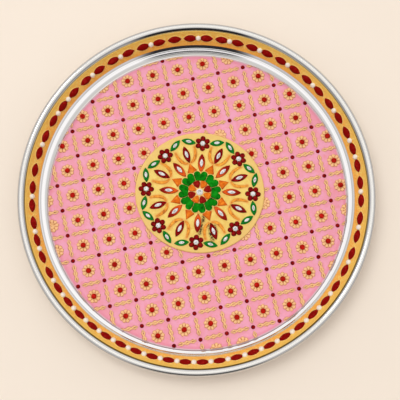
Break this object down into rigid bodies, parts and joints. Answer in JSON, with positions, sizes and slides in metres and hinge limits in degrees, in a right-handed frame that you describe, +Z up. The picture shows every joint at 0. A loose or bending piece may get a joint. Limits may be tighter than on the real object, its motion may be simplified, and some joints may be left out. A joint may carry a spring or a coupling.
{
  "type": "puja thali",
  "caption": "Round shallow steel offering dish with rolled edge, pink lining with gold lattice relief, jewelled gold rim band and raised jewelled oval medallion.",
  "frame": {"origin": "on the dish's axis, at the flat underside that it rests on", "axes": "+Z up along the dish's axis, +X right and +Y away as the dish is seen in the picture"},
  "size_m": [0.3, 0.3, 0.02],
  "materials": {
    "polished_steel": "polished stainless sheet",
    "adhesive": "dried glue film",
    "pink_enamel": "glossy pink enamel on thin sheet",
    "gold_relief": "piped gold-coloured relief",
    "maroon_bead": "glossy half bead",
    "red_bead": "glossy half bead",
    "gold_band": "grainy gold",
    "gold_collar": "gold outline",
    "maroon_stone": "glossy cabochon",
    "pearl": "pearl",
    "medallion_yellow": "mottled yellow gold",
    "green_enamel": "glossy enamel",
    "red_enamel": "glossy enamel",
    "orange_enamel": "glossy enamel",
    "orange_red_enamel": "glossy enamel",
    "maroon_enamel": "glossy enamel",
    "orange_paint": "airbrushed orange",
    "leaf_green_enamel": "glossy enamel",
    "white_stone": "faceted white"
  },
  "bodies": {
    "root": {"thali_plate": "polished_steel", "lining_adhesive": "adhesive", "medallion_adhesive": "adhesive", "band_adhesive": "adhesive", "floor_lining": "pink_enamel", "lattice_links": "gold_relief", "floor_flowers": "gold_relief", "lattice_dots": "maroon_bead", "floor_flower_dots": "red_bead", "rim_band": "gold_band", "rim_collars": "gold_collar", "rim_stones": "maroon_stone", "rim_pearls": "pearl", "medallion_plate": "medallion_yellow", "centre_tray": "gold_collar", "green_hearts": "green_enamel", "centre_petals_red": "red_enamel", "centre_petals_orange": "orange_enamel", "centre_stone": "pearl", "orange_points": "orange_enamel", "inner_settings": "orange_red_enamel", "inner_stones": "white_stone", "outer_settings": "maroon_enamel", "outer_stones": "white_stone", "lotus_strokes": "orange_paint", "flower_petals": "maroon_enamel", "flower_stones": "white_stone", "leaves": "leaf_green_enamel", "leaf_stones": "white_stone"}
  },
  "joints": []
}
